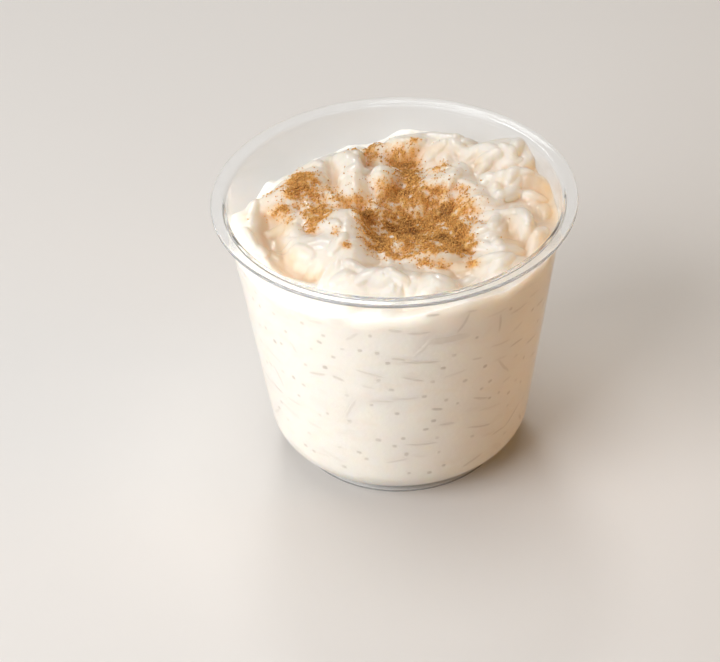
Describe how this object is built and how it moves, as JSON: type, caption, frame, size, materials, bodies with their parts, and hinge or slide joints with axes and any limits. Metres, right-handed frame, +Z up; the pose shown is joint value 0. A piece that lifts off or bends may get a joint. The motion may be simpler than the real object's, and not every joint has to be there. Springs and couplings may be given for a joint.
{
  "type": "cup of rice pudding",
  "caption": "Rice pudding heaped in a clear plastic dessert cup with a flat lip, a tapered wall and a rounded base, dusted with ground cinnamon.",
  "frame": {"origin": "on the table under the centre of the cup's foot ring", "axes": "+Z up along the cup's axis; -Y is the side that the picture shows, +X to the right of that view"},
  "size_m": [0.085, 0.085, 0.0684],
  "materials": {
    "clear_plastic": "gloss",
    "rice_pudding": "satin"
  },
  "bodies": {
    "root": {"cup": "clear_plastic", "pudding": "rice_pudding"}
  },
  "joints": []
}
